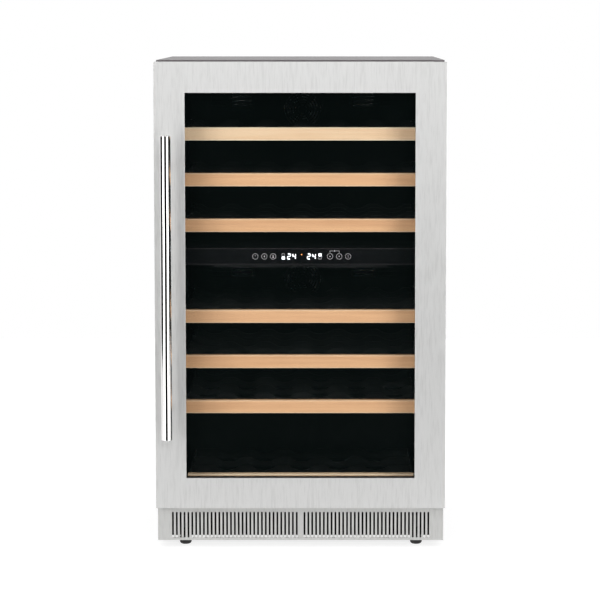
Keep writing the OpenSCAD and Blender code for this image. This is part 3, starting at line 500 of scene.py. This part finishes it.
marks = {"lipDepth": 1.2 * mm, "raise": 0.12 * mm, "digitHigh": 12.4 * mm, "digitWide": 7.4 * mm,
         "stroke": 1.75 * mm, "slant": 0.08, "strokeGap": 0.18 * mm, "line": 0.5 * mm,
         "box": 3.0 * mm, "boxHigh": 2.8 * mm, "boxAt": 3 * mm, "fill": (0.5 * mm, 6 * mm), "dot": 1.1 * mm,
         "tall": 3.0 * mm, "small": 1.3 * mm, "bracket": (7.4 * mm, 11.4 * mm),
         "digitsAt": (-23.8, -13.2, 17.2, 27.8),
         "ring": 6.0 * mm, "ringLine": 0.55 * mm, "lip": 1.0 * mm,
         "ringsAt": (-93.1, -74.5, -56.4, 60.7, 79.6, 98.1), "boxesAt": (-35.4, 40.2), "dotAt": (2.3, 3.9)}
panelLow, panelHigh = (np.array(v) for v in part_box("control_panel"))
panelMiddle = (panelLow + panelHigh) / 2
markFront = panelLow[1] + marks["lipDepth"]


def flatShapes(name, shapes, material, front=markFront):
    # each shape is a closed outline (x, z) in metres from the panel's middle, drawn as a thin raised film
    points, faces = [], []
    for outline in shapes:
        outline = np.asarray(outline, float)
        n, start = len(outline), len(points)
        for y in (front - marks["raise"], front):
            points += [(panelMiddle[0] + a, y, panelMiddle[2] + b) for a, b in outline]
        faces.append([start + k for k in range(n)])
        faces.append([start + n + k for k in range(n)][::-1])
        faces += [[start + k, start + n + k, start + n + (k + 1) % n, start + (k + 1) % n] for k in range(n)]
    return meshPiece(name, points, faces, "cabinet", material, smooth=False)


def bar(x0, z0, x1, z1):
    return [(x0, z0), (x1, z0), (x1, z1), (x0, z1)]


def ringParts(x, z, r, line, start=0, end=360, parts=28):
    # a circle's line as a row of four-sided pieces
    turn = np.radians(np.linspace(start, end, parts + 1))
    inner = np.stack([x + (r - line) * np.cos(turn), z + (r - line) * np.sin(turn)], -1)
    outer = np.stack([x + r * np.cos(turn), z + r * np.sin(turn)], -1)
    return [[inner[k], outer[k], outer[k + 1], inner[k + 1]] for k in range(parts)]


def disc(x, z, r, sides=20):
    turn = np.radians(np.linspace(0, 360, sides, endpoint=False))
    return np.stack([x + r * np.cos(turn), z + r * np.sin(turn)], -1)


def digit(x, lit, s):
    # seven pointed strokes: a top, b and c right, d bottom, e and f left, g middle
    w, h, t, gap = s["digitWide"] / 2, s["digitHigh"] / 2, s["stroke"] / 2, s["strokeGap"]

    def stroke(ax, az, bx, bz):
        way = np.array([bx - ax, bz - az])
        length = np.hypot(*way)
        way = way / length
        side = np.array([-way[1], way[0]]) * t
        a, b = np.array([ax, az]) + way * gap, np.array([bx, bz]) - way * gap
        six = np.array([a, a + way * t + side, b - way * t + side, b, b - way * t - side, a + way * t - side])
        six[:, 0] += x + s["slant"] * six[:, 1]
        return six
    w, h = w - t, h - t
    places = {"a": (-w, h, w, h), "b": (w, h, w, 0), "c": (w, 0, w, -h), "d": (w, -h, -w, -h),
              "e": (-w, -h, -w, 0), "f": (-w, 0, -w, h), "g": (-w, 0, w, 0)}
    return [stroke(*places[k]) for k in lit]


def makeMarks(s):
    shown = ("abged", "fgbc", "abged", "fgbc")  # the numbers 24 and 24
    digits = [part for x, lit in zip(s["digitsAt"], shown) for part in digit(x * mm, lit, s)]
    half, line = s["box"], s["line"]
    lower, upper = (x * mm for x in s["boxesAt"])
    near, far = s["fill"]
    digits += [bar(lower - half, -far, lower + half, -near), bar(upper - half, near, upper + half, far)]
    lit = flatShapes("display_numbers", digits, finishes["litWhite"])
    grey = [part for x in s["ringsAt"] for part in ringParts(x * mm, 0, s["ring"], s["ringLine"])]
    for x, z in ((lower, s["boxAt"]), (upper, -s["boxAt"])):
        base, top = z - s["boxHigh"], z + s["boxHigh"]
        grey += [bar(x - half, base, x - half + line, top), bar(x + half - line, base, x + half, top),
                 bar(x - half, top - line, x + half, top), bar(x - half, base, x + half, base + line)]
    power, lamp, heat, first, second, last = (x * mm for x in s["ringsAt"])
    tall, small = s["tall"], s["small"]
    grey += [bar(power - line / 2, 0, power + line / 2, tall), disc(lamp, 0, small),
             bar(heat - line, -small, heat + line, tall), disc(heat, -small * 1.4, small),
             disc(first, 0, small * 0.8), disc(second, 0, small * 0.8),
             bar(last - line / 2, -tall * 0.8, last + line / 2, tall * 0.8)]
    bracketLow, bracketTop = s["bracket"]
    grey += [bar(first - line / 2, bracketLow, first + line / 2, bracketTop),
             bar(second - line / 2, bracketLow, second + line / 2, bracketTop),
             bar(first, bracketTop - line / 2, second, bracketTop + line / 2),
             disc((first + second) / 2, bracketTop, 1.3 * mm)]
    # the printed symbols glow faintly: painted light
    printed = flatShapes("panel_symbols", grey, finishes["printGreyGlow"])
    spot = disc(s["dotAt"][0] * mm, s["dotAt"][1] * mm, s["dot"])
    dot = flatShapes("running_light", [spot], finishes["litOrange"])
    wide, high = (panelHigh[0] - panelLow[0]) / 2 - s["lip"], (panelHigh[2] - panelLow[2]) / 2
    edges = [bar(-wide, high - 2 * s["lip"], wide, high - s["lip"]),
             bar(-wide, s["lip"] - high, wide, 2 * s["lip"] - high)]
    lines = flatShapes("panel_lines", edges, finishes["panelLine"], panelLow[1])


makeMarks(marks)
print("touch panel marked")


studio = {"floorX": (-3.0, 3.0), "floorY": (-1.0, 3.0), "floorColor": 0.3, "floorGlow": 0.82,
          # (share of a half turn away from the camera, brightness) of the walls round the object
          "walls": [(0.0, 0.01), (0.12, 0.01), (0.15, 2.3), (0.21, 2.6), (0.25, 4.3), (0.31, 4.3),
                    (0.34, 0.02), (0.66, 0.02), (0.72, 1.2), (1.0, 1.2)],
          "lampAt": (0.0, -3.3, 1.75), "lampSize": (1.1, 0.5), "lampPower": 15}


def makeFloor(s):
    (left, right), (front, back) = s["floorX"], s["floorY"]
    points = [(left, front, 0), (right, front, 0), (right, back, 0), (left, back, 0)]
    material, shader = startMaterial("paleFloor", (s["floorColor"],) * 3, 0.0, 0.9)
    shader.inputs["Specular IOR Level"].default_value = 0.0
    shader.inputs["Emission Color"].default_value = (1, 1, 1, 1)
    shader.inputs["Emission Strength"].default_value = s["floorGlow"]
    floor = meshPiece("floor", points, [[0, 1, 2, 3]], None, material, smooth=False)


def makeSky(s):
    # white behind the object; what lights it has a dark strip behind the camera and a dark flag on each side
    world = bpy.data.worlds.new("studio")
    bpy.context.scene.world = world
    world.use_nodes = True
    tree = world.node_tree

    def add(kind, **settings):
        node = tree.nodes.new(kind)
        for key, value in settings.items():
            setattr(node, key, value)
        return node
    place, split = add("ShaderNodeTexCoord"), add("ShaderNodeSeparateXYZ")
    flip, share = add("ShaderNodeMath", operation="MULTIPLY"), add("ShaderNodeMath", operation="DIVIDE")
    turn, away = add("ShaderNodeMath", operation="ARCTAN2"), add("ShaderNodeMath", operation="ABSOLUTE")
    flip.inputs[1].default_value = -1
    share.inputs[1].default_value = math.pi
    ramp, seen = add("ShaderNodeValToRGB"), add("ShaderNodeLightPath")
    white, choose = add("ShaderNodeBackground"), add("ShaderNodeMixShader")
    lit = tree.nodes["Background"]
    while len(ramp.color_ramp.elements) < len(s["walls"]):
        ramp.color_ramp.elements.new(0.5)
    for element, (at, level) in zip(ramp.color_ramp.elements, s["walls"]):
        element.position = at
        element.color = (level, level, level, 1)
    white.inputs["Color"].default_value = (1, 1, 1, 1)
    links = [(place.outputs["Generated"], split.inputs[0]), (split.outputs["Y"], flip.inputs[0]),
             (split.outputs["X"], turn.inputs[0]), (flip.outputs[0], turn.inputs[1]),
             (turn.outputs[0], away.inputs[0]), (away.outputs[0], share.inputs[0]),
             (share.outputs[0], ramp.inputs["Fac"]), (ramp.outputs["Color"], lit.inputs["Color"]),
             (seen.outputs["Is Camera Ray"], choose.inputs[0]), (lit.outputs[0], choose.inputs[1]),
             (white.outputs[0], choose.inputs[2]),
             (choose.outputs[0], tree.nodes["World Output"].inputs["Surface"])]
    for source, target in links:
        tree.links.new(source, target)


def makeLamp(name, at, aim, size, power):
    lamp = bpy.data.lights.new(name, "AREA")
    lamp.shape = "RECTANGLE"
    lamp.size, lamp.size_y = size
    lamp.energy = power
    holder = bpy.data.objects.new(name, lamp)
    bpy.context.scene.collection.objects.link(holder)
    holder.location = at
    way = np.array(aim) - np.array(at)
    holder.rotation_mode = "QUATERNION"
    holder.rotation_quaternion = Vector(way).to_track_quat("-Z", "Y")
    holder.visible_camera = False
    return holder


view = {"distance": 4.8, "right": 0.0517, "height": 1.0805, "down": 5.09, "lens": 141.9,
        "shift": (-0.0427, -0.11)}


def makeCamera(s):
    # distance from the door's face and height above the floor in metres; tilted down by so many degrees
    data = bpy.data.cameras.new("camera")
    camera = bpy.data.objects.new("camera", data)
    bpy.context.scene.collection.objects.link(camera)
    camera.location = (s["right"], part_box("door_frame")[0][1] - s["distance"], s["height"])
    camera.rotation_euler = (math.radians(90 - s["down"]), 0, 0)
    data.sensor_width = 36
    data.lens = s["lens"]
    data.shift_x, data.shift_y = s["shift"]
    data.clip_start, data.clip_end = 0.1, 200
    bpy.context.scene.camera = camera


makeFloor(studio)
makeSky(studio)
makeLamp("softFront", studio["lampAt"], (0, -0.2, 0.9), studio["lampSize"], studio["lampPower"])
makeCamera(view)
bpy.context.scene.view_settings.view_transform = "Standard"
print("studio set")
